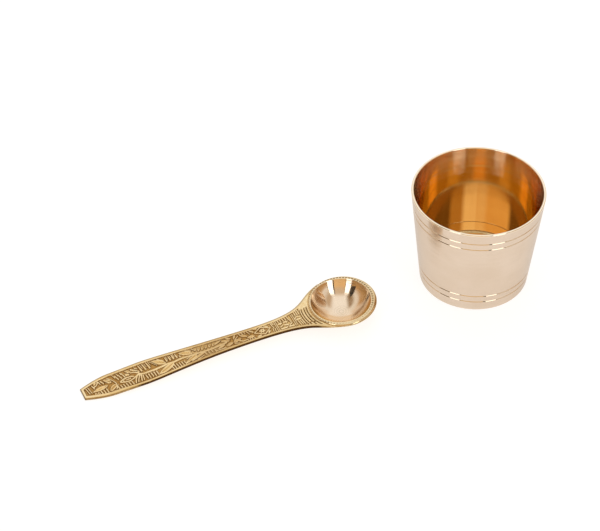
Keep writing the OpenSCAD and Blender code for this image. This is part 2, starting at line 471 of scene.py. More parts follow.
floor_edge = inner_radius(base_t)
fillet_top = base_t + cup_braze_leg
braze_outline = np.vstack([
    [(inner_radius(0), 0), (inner_radius(base_t), base_t)],
    cubic([
        (inner_radius(fillet_top), fillet_top),
        (floor_edge, base_t + fillet_hollow * cup_braze_leg),
        (floor_edge - fillet_hollow * cup_braze_leg, base_t),
        (floor_edge - cup_braze_leg, base_t),
    ], 12),
    [(floor_edge - cup_braze_gap, base_t), (inner_radius(0) - cup_braze_gap, 0)],
])
seam_cut = np.zeros(len(braze_outline))
seam_cut[2:-2] = fillet_tarnish
cup_seam = skin("Cup_Braze", lathe(braze_outline, cup_steps), joined=True, cut=seam_cut)
braze_alloy = brass(
    "Braze Alloy",
    {"Pale": (0.86, 0.70, 0.42, 1), "Deep": (0.80, 0.60, 0.32, 1), "Patches": 0.3},
    {"Bright": (0.93, 0.80, 0.60, 1), "Dark": (0.2, 0.1, 0.03, 1), "Dull": 0.3, "Tarnish": 0.8},
    gloss=(0.16, 0.3),
    scratch=0.002,
)
cup_seam.data.materials.append(braze_alloy)
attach(cup_seam, "cup")
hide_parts("cup_braze")

# Spoon bowl
# A round bowl raised from thick sheet brass, turned smooth inside, with a flat rim that carries a ring of
# punched dots. The dish sits a little towards the handle, as hand work leaves it, and a centre mark stays at
# its bottom.
bowl_d = 33.5
bowl_rim_w = 2.0
bowl_rim_t = 1.3
dish_depth = 8.0
bowl_t = 1.4
bowl_steps = 640
spoon_l = 151.4
tip_t = 1.2
end_rise = 0.3
spoon_gap = 23.1
spoon_bearing = math.radians(24)
spoon_yaw = math.radians(24.1)
bowl_r = bowl_d / 2
dish_r = bowl_r - bowl_rim_w
dish_ball_r = (dish_r**2 + dish_depth**2) / (2 * dish_depth)
dish_ball_z = dish_ball_r - dish_depth
bowl_depth = dish_depth + bowl_t
back_rise = bowl_depth - bowl_rim_t
back_ball_r = (bowl_r**2 + back_rise**2) / (2 * back_rise)
back_ball_z = back_ball_r - bowl_depth
tip_x = spoon_l - bowl_r
dish_shift = np.array([0.7, -0.2])
lip_round = 0.3
lip_ease = 0.05
roll_w = 1.5
roll_drop = 1.05
dot_pitch = 1.5
dot_r = 0.52
dot_soft = 0.2
dot_depth = 0.3
dot_inset = 0.8
dot_least = 0.25
dot_spread = 0.45
dot_side = math.radians(215)
streak_side = math.radians(205)
streak_pitch = 0.9
streak_w = 3.0
streak_tarnish = 0.8
pip_r = 0.9
pip_h = 0.12
centre_r = 5.0
centre_pitch = 1.15
centre_depth = 0.02
centre_tarnish = 0.4
lip_rubbed = 0.8
back_tarnish = 0.12
rolled_side_shade = 0.25
side_step = 0.1
side_draft = 0.02

# The spoon leans until the end of its handle meets the table that the back of its bowl stands on.
end_drop = back_ball_z - end_rise + tip_t
spoon_tilt = math.asin(back_ball_r / math.hypot(tip_x, end_drop)) - math.atan2(end_drop, tip_x)
bowl_away = rim_d / 2 + spoon_gap + bowl_r
spoon_place = (
    Matrix.Translation((
        -bowl_away * math.cos(spoon_bearing) * mm,
        -bowl_away * math.sin(spoon_bearing) * mm,
        back_ball_r * mm,
    ))
    @ Matrix.Rotation(math.pi + spoon_yaw, 4, "Z")
    @ Matrix.Rotation(spoon_tilt, 4, "Y")
    @ Matrix.Translation((0, 0, -back_ball_z * mm))
)

dish_low = -90 + math.degrees(middle_r / dish_ball_r)
dish_high = -90 + math.degrees(math.asin((dish_r - lip_round) / dish_ball_r))
back_high = math.degrees(math.asin((-bowl_rim_t - side_step - back_ball_z) / back_ball_r))
back_low = -90 + math.degrees(middle_r / back_ball_r)
dish_curve = arc((0, dish_ball_z), dish_ball_r, dish_low, dish_high, 44)
lip_curve = cubic([
    dish_curve[-1],
    (dish_r - lip_ease, -lip_ease),
    (dish_r + lip_ease, 0),
    (dish_r + lip_round, 0),
], 6)[1:]
rim_flat = np.column_stack([np.linspace(dish_r + lip_round + lip_ease, bowl_r - roll_w, 5), np.zeros(5)])
roll_turn = np.linspace(0, np.pi / 2, 14)[1:]
rim_roll = np.column_stack([
    bowl_r - roll_w * (1 - np.sin(roll_turn)),
    -roll_drop * (1 - np.cos(roll_turn)),
])
rim_side = np.array([(bowl_r, -roll_drop - side_step), (bowl_r - side_draft, -bowl_rim_t)])
back_curve = arc((0, back_ball_z), back_ball_r, back_high, back_low, 36)
bowl_outline = np.vstack([dish_curve, lip_curve, rim_flat, rim_roll, rim_side, back_curve])
rings = lathe(bowl_outline, bowl_steps)

# The dish and its lip move together, and the flat rim takes up the difference.
ring_r = bowl_outline[:, 0]
inner_rows = len(dish_curve) + len(lip_curve)
rim_rows = inner_rows + len(rim_flat) + len(rim_roll)
follow = np.clip((bowl_r - ring_r) / (bowl_r - dish_r - lip_round), 0, 1)
follow[rim_rows:] = 0
rings[..., :2] += follow[:, None, None] * dish_shift

# Punched dots stand in a ring just outside the lip, struck hardest away from the handle. There the tool also
# left streaks inside the lip. The pip in the middle is where the work was centred, with the first rings of
# the tool.
from_dish = rings[..., :2] - dish_shift
dish_away = np.hypot(from_dish[..., 0], from_dish[..., 1])
dish_turn = np.arctan2(from_dish[..., 1], from_dish[..., 0])
dot_circle = dish_r + dot_inset
dot_count = round(2 * math.pi * dot_circle / dot_pitch)
step_turn = 2 * math.pi / dot_count
across_dot = (np.mod(dish_turn, step_turn) - step_turn / 2) * dot_circle
dot_away = np.hypot(across_dot, dish_away - dot_circle)
dot_force = dot_least + (1 - dot_least) * np.clip(dot_spread + np.cos(dish_turn - dot_side), 0, 1)
dots = dot_force * np.clip((dot_r - dot_away) / dot_soft, 0, 1)
dots[rim_rows:] = 0
pip = 0.5 + 0.5 * np.cos(np.pi * np.clip(dish_away / pip_r, 0, 1))
pip[inner_rows:] = 0
centre_rings = 0.5 + 0.5 * np.cos(2 * np.pi * dish_away / centre_pitch)
centre_rings *= np.clip(1 - dish_away / centre_r, 0, 1)
centre_rings[inner_rows:] = 0
rings[..., 2] += pip * pip_h - dots * dot_depth - centre_rings * centre_depth
streaks = np.sin(2 * np.pi * dish_away / streak_pitch + 1.5 * np.sin(5 * dish_turn))
streaks += 0.6 * np.sin(13 * dish_turn + 1)
streaks = np.clip(streaks - 0.5, 0, 1) * np.clip(2 * (dish_away - dish_r + streak_w) / streak_w, 0, 1)
streaks *= np.clip(3 * np.cos(dish_turn - streak_side) - 2, 0, 1)
streaks[len(dish_curve):] = 0
lip_edge = np.zeros(len(bowl_outline))
lip_edge[len(dish_curve):inner_rows] = lip_rubbed
back_dull = np.zeros(dots.shape)
back_dull[inner_rows:] = back_tarnish
# The rolled side of the rim is darkened as painted shade, with none on the side towards the handle.
side_grime = np.zeros(dots.shape)
rolled_side = slice(rim_rows - 4, rim_rows + len(rim_side))
side_grime[rolled_side] = rolled_side_shade * np.clip(2 - 4 * np.cos(dish_turn[rolled_side]), 0, 1)
bowl_cut = np.maximum.reduce([dots, streak_tarnish * streaks, centre_tarnish * centre_rings, back_dull])
bowl = skin("Spoon_Bowl", rings, capped=(0, -1), cut=bowl_cut, edge=lip_edge, grime=side_grime)
bowl.data.transform(spoon_place)
dish_brass = brass(
    "Spoon Dish Brass",
    {"Pale": (0.90, 0.75, 0.58, 1), "Deep": (0.87, 0.70, 0.51, 1), "Patches": 0.12},
    {"Bright": (0.96, 0.85, 0.68, 1), "Dark": (0.22, 0.12, 0.03, 1), "Dull": 0.45, "Tarnish": 0.8},
    gloss=(0.06, 0.15),
    lines=0.6,
    line_depth=0.005,
    scratch=0.001,
    brushed=1.0,
)
rim_brass = brass(
    "Spoon Rim Brass",
    {"Pale": (0.90, 0.73, 0.46, 1), "Deep": (0.82, 0.62, 0.34, 1), "Patches": 0.12},
    {"Bright": (0.93, 0.78, 0.54, 1), "Dark": (0.10, 0.05, 0.012, 1), "Dull": 0.45, "Tarnish": 0.98},
    gloss=(0.1, 0.24),
    lines=0.4,
    line_depth=0.0008,
    scratch=0.002,
)
back_brass = brass(
    "Spoon Back Brass",
    {"Pale": (0.87, 0.63, 0.31, 1), "Deep": (0.73, 0.48, 0.18, 1), "Patches": 0.12},
    {"Bright": (0.96, 0.80, 0.50, 1), "Dark": (0.2, 0.1, 0.02, 1), "Dull": 0.45, "Tarnish": 0.8},
    gloss=(0.14, 0.28),
    scratch=0.004,
)
for finish in (rim_brass, dish_brass, back_brass):
    bowl.data.materials.append(finish)
bowl_finish = np.zeros(len(bowl.data.polygons), np.int32)
bowl_finish[:(len(dish_curve) + 2) * bowl_steps] = 1
bowl_finish[(rim_rows + len(rim_side)) * bowl_steps:] = 2
bowl_finish[-2 * bowl_steps:-bowl_steps] = 1
bowl.data.polygons.foreach_set("material_index", bowl_finish)
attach(bowl, "spoon")
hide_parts("spoon_bowl")

# Spoon handle
# A flat bar of brass, forged to a waist and a wide belly and cut square at the end. Its top is chased by
# hand: leaves, a stem and ladders of short bars stand up between a sunk ground and a raised border.
tip_w = 7.1
shoulder_w = 13.9
shoulder_at = 15.9
belly_w = 14.7
belly_at = 30.3
waist_w = 9.2
waist_at = 27.5
wing_angle = math.radians(70)
wing_t = 0.4
neck_t = 1.5
neck_dip = 1.5
neck_at = 11.5
level_l = 44.0
spoon_braze_gap = 0.2
column_step = 0.16
top_rows = 97
bottom_rows = 25
edge_w = 0.7
edge_drop = 0.55
under_round = 0.35
end_round = 0.35
end_clear = 0.05
wing_sink = 0.9
wing_fade = 3.0
wing_thin = 1.6

# Share of its stretch for which a curve keeps the direction that it starts or ends with.
flare_out = 0.55
flare_in = 1.05
waist_ease = 0.48
belly_ease = 0.17
shoulder_ease = 0.4
end_ease = 0.25
end_fullness = 0.4
rise_leaves = 0.25
rise_arrives = 0.5

# Half of the outline, from where the flare leaves the bowl to the corner of the end, and the top's line.
waist_x = bowl_r + waist_at
belly_x = tip_x - belly_at
shoulder_x = tip_x - shoulder_at
wing_x = (bowl_r + wing_t) * math.cos(wing_angle)
wing_y = (bowl_r + wing_t) * math.sin(wing_angle)
flare = flare_out * waist_at
rise_l = belly_x - waist_x
half_outline = np.vstack([
    cubic([
        (wing_x, wing_y),
        (wing_x + flare * math.sin(wing_angle), wing_y - flare * math.cos(wing_angle)),
        (waist_x - flare_in * waist_at, waist_w / 2),
        (waist_x, waist_w / 2),
    ], 120),
    cubic([
        (waist_x, waist_w / 2),
        (waist_x + waist_ease * rise_l, waist_w / 2),
        (belly_x - belly_ease * rise_l, belly_w / 2),
        (belly_x, belly_w / 2),
    ], 120)[1:],
    np.column_stack([
        np.linspace(belly_x, shoulder_x, 80)[1:-1],
        np.linspace(belly_w, shoulder_w, 80)[1:-1] / 2,
    ]),
    cubic([
        (shoulder_x, shoulder_w / 2),
        (shoulder_x + shoulder_ease * shoulder_at, shoulder_w / 2),
        (tip_x - end_ease * shoulder_at, (tip_w + end_fullness * (shoulder_w - tip_w)) / 2),
        (tip_x, tip_w / 2),
    ], 60),
])
dip_x = bowl_r + neck_at
level_x = tip_x - level_l
dip_middle = (wing_x + dip_x) / 2
climb = level_x - dip_x
top_line = np.vstack([
    [(0, 0)],
    cubic([(wing_x, 0), (dip_middle, 0), (dip_middle, -neck_dip), (dip_x, -neck_dip)], 60),
    cubic([
        (dip_x, -neck_dip),
        (dip_x + rise_leaves * climb, -neck_dip),
        (level_x - rise_arrives * climb, end_rise),
        (level_x, end_rise),
    ], 60)[1:],
    [(tip_x, end_rise)],
])

# Columns run along the handle, close together, and round off at the square end.
along = np.concatenate([[0], np.cumsum(np.hypot(*np.diff(half_outline, axis=0).T))])
stops = np.arange(0, along[-1], column_step)
side_x = np.interp(stops, along, half_outline[:, 0])
side_y = np.interp(stops, along, half_outline[:, 1])
kept = side_x < tip_x - end_round - end_clear
round_turn = np.linspace(0, np.pi / 2, 6)
end_x = tip_x - end_round * (1 - np.sin(round_turn))
start_r = bowl_r + spoon_braze_gap
side_x = np.concatenate([[wing_x], side_x[kept], end_x])
side_y = np.concatenate([
    [math.sqrt(start_r**2 - wing_x**2)],
    side_y[kept],
    np.interp(end_x, half_outline[:, 0], half_outline[:, 1]),
])
end_sink = np.concatenate([np.zeros(kept.sum() + 1), end_round * (1 - np.cos(round_turn))])
reach = np.hypot(side_x, side_y)
half_span = reach * np.arctan2(side_y, side_x)

# Each section is a ring: along the top, down the near side, back under the bottom and up the far side.
quarter = np.linspace(0, np.pi / 2, 6)[1:]
down = np.linspace(0, 1, 5)[1:-1]
across = np.linspace(-1, 1, top_rows)
under = np.linspace(1, -1, bottom_rows)
bend_count = 2 * len(quarter) + len(down)
side_inset = np.concatenate([
    edge_w * (1 - np.sin(quarter)),
    0 * down,
    under_round * (1 - np.cos(quarter - quarter[0])),
])
side_drop = np.concatenate([
    edge_drop * (1 - np.cos(quarter)),
    edge_drop * (1 - down) - under_round * down,
    under_round * (np.sin(quarter - quarter[0]) - 1),
])
side_deep = np.concatenate([0 * quarter, down, 0 * quarter + 1])
ring_share = np.concatenate([across, np.ones(bend_count), under, -np.ones(bend_count)])
ring_inset = np.concatenate([0 * across + edge_w, side_inset, 0 * under + under_round, side_inset[::-1]])
ring_drop = np.concatenate([0 * across, side_drop, 0 * under, side_drop[::-1]])
ring_deep = np.concatenate([0 * across, side_deep, 0 * under + 1, side_deep[::-1]])
near_bottom = top_rows + bend_count
far_bottom = near_bottom + bottom_rows - 1

swing = ring_share * (half_span[:, None] - ring_inset) / reach[:, None]
x = np.minimum(reach[:, None] * np.cos(swing), tip_x)
y = reach[:, None] * np.sin(swing)
thick = neck_t + (tip_t - neck_t) * np.clip((x - bowl_r) / (tip_x - bowl_r), 0, None)

# The flare thins out to its ends, and the inner end follows the back of the bowl below the rim.
ring_turn = np.abs(swing)
side_turn = np.arctan2(side_y, side_x)
wing_reach = np.interp(ring_turn, side_turn[::-1], reach[::-1]) - start_r
fade = np.clip((wing_reach - wing_t + spoon_braze_gap) / wing_fade, 0, 1)
thinned = wing_sink * (1 - fade)**2
sink = (ring_drop + ring_deep * thick) * (1 - (2 * end_sink[:, None] + wing_thin * thinned) / thick)
z = np.interp(x, top_line[:, 0], top_line[:, 1]) - end_sink[:, None] - thinned - sink
hug = np.sqrt(np.clip((back_ball_r + spoon_braze_gap)**2 - (z[0] - back_ball_z)**2, 0, None))
pull = np.minimum(start_r, hug) / np.hypot(x[0], y[0])
x[0] *= pull
y[0] *= pull

# The chased pattern is laid out from the centre of the bowl and from the middle line, with the far side up.
ground_depth = 0.42
chisel_slope = 0.2
hand_wander = 0.18
leaf_lean = 0.85
leaf_blunt = 0.75
vein_start = 0.08
vein_end = 0.86
vein_fade = 0.1
vein_soft = 1.3
far_off = 9.0
s = x[:, :top_rows]
w = -y[:, :top_rows]
raised = np.full(s.shape, far_off)
veins = np.zeros(s.shape)


def from_line(start, end):
    """Share along a line, from 0 to 1, and the distance to its left, for the whole top."""
    run = np.subtract(end, start)
    length = math.hypot(*run)
    share = ((s - start[0]) * run[0] + (w - start[1]) * run[1]) / length**2
    left = ((w - start[1]) * run[0] - (s - start[0]) * run[1]) / length
    return share, left, length


def leaf(base, tip, width, bow=0.0, vein=0.0):
    """A pointed leaf, fullest past its middle, that may bow to one side and carry a cut along its middle."""
    global raised, veins
    share, left, length = from_line(base, tip)
    kept = np.clip(share, 0, 1)
    swell = np.sin(np.pi * kept**leaf_lean)**leaf_blunt
    left = left - bow * 4 * kept * (1 - kept)
    past = np.abs(share - kept) * length
    beside = np.abs(left) - swell * width / 2
    away = np.hypot(np.maximum(beside, 0), past) + np.minimum(beside, 0)
    raised = np.minimum(raised, away)
    if vein:
        inside = np.clip((share - vein_start) / vein_fade, 0, 1)
        inside *= np.clip((vein_end - share) / vein_fade, 0, 1)
        veins = np.maximum(veins, inside * np.clip(vein_soft - np.abs(left) / (vein / 2), 0, 1))


def bar(start, end, start_w, end_w):
    """A short bar that may taper."""
    global raised
    share, left, length = from_line(start, end)
    kept = np.clip(share, 0, 1)
    away = np.hypot(left, (share - kept) * length)
    raised = np.minimum(raised, away - (start_w + (end_w - start_w) * kept) / 2)


def stroke(points, width):
    """A band through several points."""
    for start, end in zip(points[:-1], points[1:]):
        bar(start, end, width, width)


def ladder(first, step, count, foot, head, lean, foot_w, head_w):
    """A row of bars, from a foot to a head across the handle."""
    for i in range(count):
        at = first - i * step
        wander = hand_wander * math.sin(2.4 * i + first)
        bar((at, foot), (at + lean, head + wander), foot_w, head_w)


# Ladders on the far side, from the end towards the bowl.
ladder(131.4, 1.05, 2, -1.6, 2.3, 0.7, 0.5, 0.45)
ladder(128.4, 1.0, 1, 0.6, 2.8, 0.65, 0.6, 0.45)
ladder(116.1, 1.65, 3, 1.0, 3.7, 0.85, 0.65, 0.5)
ladder(104.2, 2.05, 3, 1.2, 4.9, 0.6, 0.95, 0.5)
ladder(91.2, 1.72, 4, 1.5, 4.0, 0.3, 0.85, 0.4)
ladder(84.5, 1.0, 1, 1.2, 2.1, 0.2, 0.8, 0.3)
ladder(75.1, 1.87, 5, 1.2, 2.6, 0.0, 1.05, 0.2)

# Fine strokes fill the gaps of the wider ladders.
ladder(103.4, 2.05, 3, 2.4, 4.8, 0.4, 0.3, 0.35)
ladder(90.5, 1.72, 3, 2.3, 4.1, 0.3, 0.25, 0.35)
ladder(115.6, 1.65, 2, 3.4, 4.7, 0.3, 0.35, 0.4)

# Ladders on the near side.
ladder(126.1, 1.42, 3, -2.1, -4.3, -0.3, 0.55, 0.6)
ladder(117.9, 1.42, 6, -3.1, -4.9, -0.4, 0.55, 0.55)
ladder(103.4, 1.36, 5, -2.3, -4.8, -0.3, 0.65, 0.55)
ladder(90.3, 1.3, 6, -2.3, -4.9, -0.45, 0.6, 0.5)
ladder(72.6, 1.62, 4, -1.9, -3.3, -0.2, 0.7, 0.55)

# The flower at the end.
leaf((121.9, -0.4), (129.8, -1.4), 2.1, 0.2, 0.35)
stroke([(128.3, 1.4), (126.9, 2.0), (126.1, 3.0), (125.8, 4.0)], 0.55)
leaf((128.0, 2.7), (126.5, 4.2), 1.0)
bar((125.4, 3.8), (125.0, 2.0), 0.5, 0.5)
bar((124.3, 3.6), (123.4, 1.7), 0.75, 0.6)
leaf((119.8, 0.6), (123.0, 3.9), 1.9, 0.2, 0.25)
stroke([(120.9, 4.0), (119.6, 2.7), (118.7, 1.2), (118.0, -0.3), (117.8, -1.3)], 0.5)
stroke([(118.1, 4.8), (117.6, 3.6), (117.3, 2.6)], 0.4)
leaf((117.9, -1.4), (122.0, -4.2), 2.3, 0.1, 0.7)
bar((118.9, -4.5), (117.4, -2.0), 0.45, 0.45)
leaf((128.6, -3.9), (129.0, -2.2), 1.15, 0.0, 0.35)
leaf((127.2, -4.2), (127.5, -2.3), 1.15, 0.0, 0.35)

# The palmette, with its leaves spread from one point.
stroke([(115.8, -1.0), (114.4, -0.1), (112.4, 0.25), (110.2, 0.1), (108.8, -0.5)], 0.55)
stroke([(115.8, -1.2), (113.6, -2.1), (111.2, -2.4), (108.9, -1.6), (107.2, -0.5), (105.8, 0.3)], 0.6)
bar((114.3, -0.4), (114.1, -1.6), 0.45, 0.45)
bar((112.7, -1.0), (110.4, -0.9), 0.45, 0.3)
leaf((110.2, 1.4), (112.6, 2.4), 1.1, 0.1)
leaf((109.3, 2.8), (111.9, 4.5), 1.4, 0.1, 0.25)
stroke([(108.8, 4.2), (107.0, 2.8), (105.5, 1.3)], 0.65)
stroke([(109.5, 2.3), (107.6, 1.8), (105.9, 0.7)], 0.55)
bar((107.0, 4.5), (105.7, 3.3), 0.5, 0.35)
stroke([(106.1, -0.1), (107.5, -1.3), (108.6, -3.0), (109.2, -4.8)], 0.65)
stroke([(105.7, -0.5), (106.6, -2.0), (107.4, -3.4), (107.9, -4.7)], 0.55)
stroke([(105.2, -0.9), (105.7, -2.6), (106.2, -4.7)], 0.6)
bar((104.6, -1.8), (105.0, -4.7), 0.5, 0.55)

# The stem, and the pairs of broad leaves that leave it.
stroke([
    (105.6, -0.3), (104.0, -0.95), (99.0, -1.0), (94.5, -0.65), (91.5, -0.3), (88.5, -0.6), (85.0, -0.1),
    (83.0, -0.15), (80.0, -0.45), (77.0, -0.4), (73.0, -0.7), (69.0, -0.75), (65.0, -0.35), (61.0, 0.1),
], 0.85)
leaf((92.0, 0.3), (98.2, 4.7), 2.6, 0.2, 0.28)
leaf((88.2, -0.7), (97.4, -4.8), 2.9, -0.2, 0.28)
bar((98.9, 4.6), (96.4, 1.0), 0.4, 0.3)
bar((95.2, 4.7), (92.6, 2.4), 0.4, 0.3)
leaf((78.2, 0.6), (84.6, 3.4), 2.3, 0.2, 0.28)
leaf((76.4, -0.8), (83.4, -4.0), 1.9, 0.0, 0.25)
leaf((72.2, -1.1), (80.6, -4.2), 1.3, 0.25)
bar((81.2, 3.8), (78.6, 2.3), 0.4, 0.35)
bar((78.0, 3.5), (76.6, 1.6), 0.55, 0.4)
bar((82.2, -1.6), (80.4, -1.1), 0.45, 0.3)
bar((77.4, -4.2), (73.8, -3.1), 0.5, 0.4)
leaf((66.9, 1.2), (62.9, 2.7), 1.0)

# Small leaves and a crossing between the stem and the lozenge.
leaf((62.0, -0.9), (66.4, -2.1), 1.1)
leaf((59.0, 0.6), (63.4, 1.5), 1.3, 0.2, 0.25)
leaf((58.3, 1.4), (60.8, 3.1), 0.9)
leaf((58.0, -1.4), (61.8, -2.1), 1.4, 0.1, 0.25)
bar((67.8, -2.9), (62.4, -3.0), 0.45, 0.4)
leaf((57.2, 0.8), (55.6, 2.9), 1.0)
bar((56.9, -0.2), (54.6, 1.6), 0.55, 0.4)
leaf((57.8, -1.2), (53.4, -0.5), 1.5, 0.0, 0.25)
stroke([(54.6, -1.4), (53.3, -2.5), (51.4, -2.3)], 0.6)
bar((57.4, -2.2), (55.4, -2.9), 0.7, 0.4)
leaf((50.3, -0.3), (53.6, 1.6), 1.4, 0.15, 0.25)
ladder(53.4, 1.35, 5, 1.9, 2.9, 0.25, 0.6, 0.5)
bar((49.3, 2.0), (48.9, 0.5), 0.6, 0.45)
leaf((47.0, -1.5), (50.8, -1.2), 1.6, 0.0, 0.25)
ladder(50.9, 1.15, 4, -2.4, -3.1, -0.1, 0.55, 0.5)
leaf((46.5, 0.7), (47.9, 2.6), 0.9)

# The lozenge with a flower in it.
stroke([(46.4, 0.1), (42.5, 2.6), (38.1, 0.2), (41.7, -2.5), (46.4, 0.1)], 0.5)
flower_s = 42.3
flower_w = 0.05
for petal in range(6):
    turn = math.radians(60 * petal + 15)
    leaf(
        (flower_s + 0.25 * math.cos(turn), flower_w + 0.25 * math.sin(turn)),
        (flower_s + 1.75 * math.cos(turn), flower_w + 1.45 * math.sin(turn)),
        0.75,
    )
leaf((38.7, 1.4), (41.0, 3.0), 0.9)
leaf((38.7, -1.1), (40.3, -3.1), 0.9)
leaf((44.0, 2.4), (46.4, 3.0), 0.9)
leaf((43.4, -2.4), (46.2, -2.8), 1.0)
for at, foot, head in [
    (36.9, 1.2, 3.3),
    (36.1, 1.6, 3.5),
    (37.2, -1.0, -3.0),
    (36.2, -1.2, -3.2),
    (36.6, -0.4, 0.7),
]:
    bar((at, foot), (at + 0.25, head), 0.55, 0.45)

# Cross bars, and the panels of short strokes between them.
for at in (35.3, 34.45, 26.15, 25.3):
    bar((at, -3.7), (at, 3.7), 0.42, 0.42)
ladder(33.2, 1.28, 5, 1.7, 3.9, 0.25, 0.6, 0.6)
leaf((31.7, 0.7), (34.0, 0.6), 1.2)
leaf((28.7, 0.5), (31.2, 0.9), 1.0)
bar((27.5, -0.5), (27.8, 1.4), 0.55, 0.55)
leaf((29.0, -1.7), (31.5, -0.8), 0.9)
leaf((31.7, -0.9), (33.8, -1.5), 0.8)
bar((33.5, -2.8), (30.3, -2.8), 0.7, 0.7)
bar((29.3, -2.9), (27.0, -3.2), 0.7, 0.7)
leaf((27.0, -1.1), (28.9, -2.1), 0.8)
ladder(24.1, 1.0, 3, 2.3, 5.2, 0.0, 0.6, 0.55)
stroke([(24.7, 0.6), (24.1, 1.3), (23.3, 1.4), (22.3, 0.5)], 0.55)
bar((24.4, -0.5), (22.3, -0.5), 0.9, 0.9)
ladder(24.2, 0.95, 3, -1.5, -4.7, -0.5, 0.55, 0.5)

# Rings follow the bowl up to the plain far wing, and a plain border runs along both sides and the end.
collar_r = 17.6
rings_r = 21.9
wing_from = 4.6
far_border_w = 1.65
near_border_w = 1.35
near_border_grow = 0.4
end_border_w = 1.4
away = np.hypot(s, w)
edge_away = np.empty(s.shape)
for column in range(len(s)):
    gap_x = s[column][:, None] - half_outline[:, 0]
    gap_y = np.abs(w[column])[:, None] - half_outline[:, 1]
    edge_away[column] = np.sqrt((gap_x**2 + gap_y**2).min(axis=1))
for ring_at, ring_w in [(21.1, 0.45), (19.9, 0.8), (18.6, 0.5)]:
    raised = np.minimum(raised, np.abs(away - ring_at) - ring_w / 2)
raised = np.minimum(raised, away - collar_r)
raised = np.minimum(raised, np.maximum(wing_from - w, away - rings_r))


def smooth(value, low, high):
    """An even step from 0 to 1 between two values."""
    share = np.clip((value - low) / (high - low), 0, 1)
    return share * share * (3 - 2 * share)


border_w = np.where(w > 0, far_border_w, near_border_w + near_border_grow * smooth(s, 106, 116))
border = np.minimum(edge_away - border_w, tip_x - s - end_border_w)
raised = np.minimum(raised, border)

# Small pits where the punch went deep beside the bowl, and a matted ground between softened edges.
pillow_depth = 0.05
matting_depth = 0.05
matting_pitch = 0.75
vein_depth = 0.7
pit_depth = 1.5
pits = np.zeros(s.shape)
for pit_s, pit_w, pit_r in [(19.3, -5.3, 0.65), (20.8, -5.9, 0.6), (17.9, -2.2, 0.55), (17.4, -6.1, 0.7)]:
    pits = np.maximum(pits, 1 - smooth(np.hypot(s - pit_s, w - pit_w), 0.2 * pit_r, pit_r))
low_share = np.maximum.reduce([smooth(raised, 0, chisel_slope), vein_depth * veins, pit_depth * pits])
pillow = pillow_depth * (1 - smooth(-raised, 0, 0.5)) * (border > 0)
slant = 2 * np.pi / matting_pitch
matting = matting_depth * np.sin(slant * (s + w)) * np.sin(slant * (s - w))
z[:, :top_rows] -= (ground_depth + matting) * low_share + pillow

# Tarnish lies on the ground and over the much handled waist. The foot of each chisel cut is darkened, part
# tarnish and part painted shade. The middle is an even brown, and the neck and the end are rubbed pale. The
# sides and the end face carry painted shade, deepest on the near side towards the bowl, as do the far and
# end edges of the top and the pits.
waist_tarnish = 0.4
border_tarnish = 0.6
side_tarnish_and_shade = 0.3
far_edge_shade = 0.45
end_edge_shade = 0.5
end_face_shade = 0.9
foot_tarnish_and_shade = 0.75
edge_dirt = 0.6
near_side_extra_shade = 0.8
neck_share = smooth(s, 28, 46)
waist_share = smooth(s, 40, 52) * (1 - smooth(s, 72, 88))
middle_share = smooth(s, 58, 66) * (1 - smooth(s, 78, 88))
pale_share = np.maximum(1 - neck_share, smooth(s, 122, 132) * (border < 0))
near_border = np.maximum(middle_share, 0.6 * (1 - neck_share)) * (border < 0) * (w < 0)
far_line = (w > 0) * (1 - smooth(edge_away, edge_w, edge_w + 0.5))
end_line = 1 - smooth(tip_x - s, end_round, end_round + 0.3)
foot_line = smooth(raised, -0.02, 0.12) * (1 - smooth(raised, 0.2, 0.5))
cut_edge = 1 - smooth(np.abs(raised + 0.12), 0.05, 0.3)
ground_cut = np.clip(low_share, 0, 1) * (0.05 + 0.95 * neck_share) * (1 - 0.5 * middle_share)
off_top = np.abs(ring_inset - edge_w)
near_side = (off_top > 0.3) * (ring_share == 1)
far_side = (off_top > 0.02) * (ring_share == -1)
near_side_shade = edge_dirt + near_side_extra_shade * (1 - smooth(x, 106, 111))
# The sides and the bottom start tarnished; on the sides this is partly painted shade.
handle_cut = np.full(z.shape, side_tarnish_and_shade)
handle_cut[:, :top_rows] = np.maximum.reduce([
    ground_cut,
    waist_tarnish * waist_share,
    border_tarnish * near_border,
])
# Painted shade on the sides, the end face, the top's far and end edges and in the pits; at the foot of the
# cuts it is part tarnish.
handle_grime = fade * (near_side_shade * near_side + edge_dirt * far_side)
handle_grime[:, near_bottom:far_bottom + 1] = 0
handle_grime[:, :top_rows] = np.maximum.reduce([
    foot_tarnish_and_shade * foot_line,
    far_edge_shade * far_line,
    end_edge_shade * end_line,
    pits,
])
handle_grime[-len(round_turn):] = end_face_shade
handle_edge = np.zeros(z.shape)
handle_edge[:, :top_rows] = np.maximum(cut_edge, pale_share) * (low_share < 0.5)

# The inner end is filled between the top and the bottom of the first section, and at its rounded sides.
ring_size = len(ring_share)
split = (top_rows - 1) // (bottom_rows - 1)
inner_end = [list(range(top_rows - 1, near_bottom + 1)), list(range(far_bottom, ring_size)) + [0]]
for part in range(bottom_rows - 1):
    above = list(range(part * split, (part + 1) * split + 1))
    inner_end.append(above + [far_bottom - part - 1, far_bottom - part])
handle = skin(
    "Spoon_Handle",
    np.stack([x, y, z], axis=-1),
    capped=(-1,),
    more_faces=inner_end,
    cut=handle_cut,
    edge=handle_edge,
    grime=handle_grime,
)
handle.data.transform(spoon_place)
handle_brass = brass(
    "Spoon Handle Brass",
    {"Pale": (0.89, 0.65, 0.325, 1), "Deep": (0.75, 0.50, 0.19, 1), "Patches": 0.22},
    {
        "Bright": (0.98, 0.81, 0.50, 1),
        "Dark": (0.42, 0.205, 0.04, 1),
        # The colour of the painted shade, and of the tarnish at the foot of the cuts.
        "Shade And Tarnish": (0.08, 0.033, 0.006, 1),
        "Dull": 0.45,
        "Tarnish": 0.98,
    },
    gloss=(0.14, 0.32),
    scratch=0.006,
)
handle.data.materials.append(handle_brass)
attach(handle, "spoon")
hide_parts("spoon_handle")

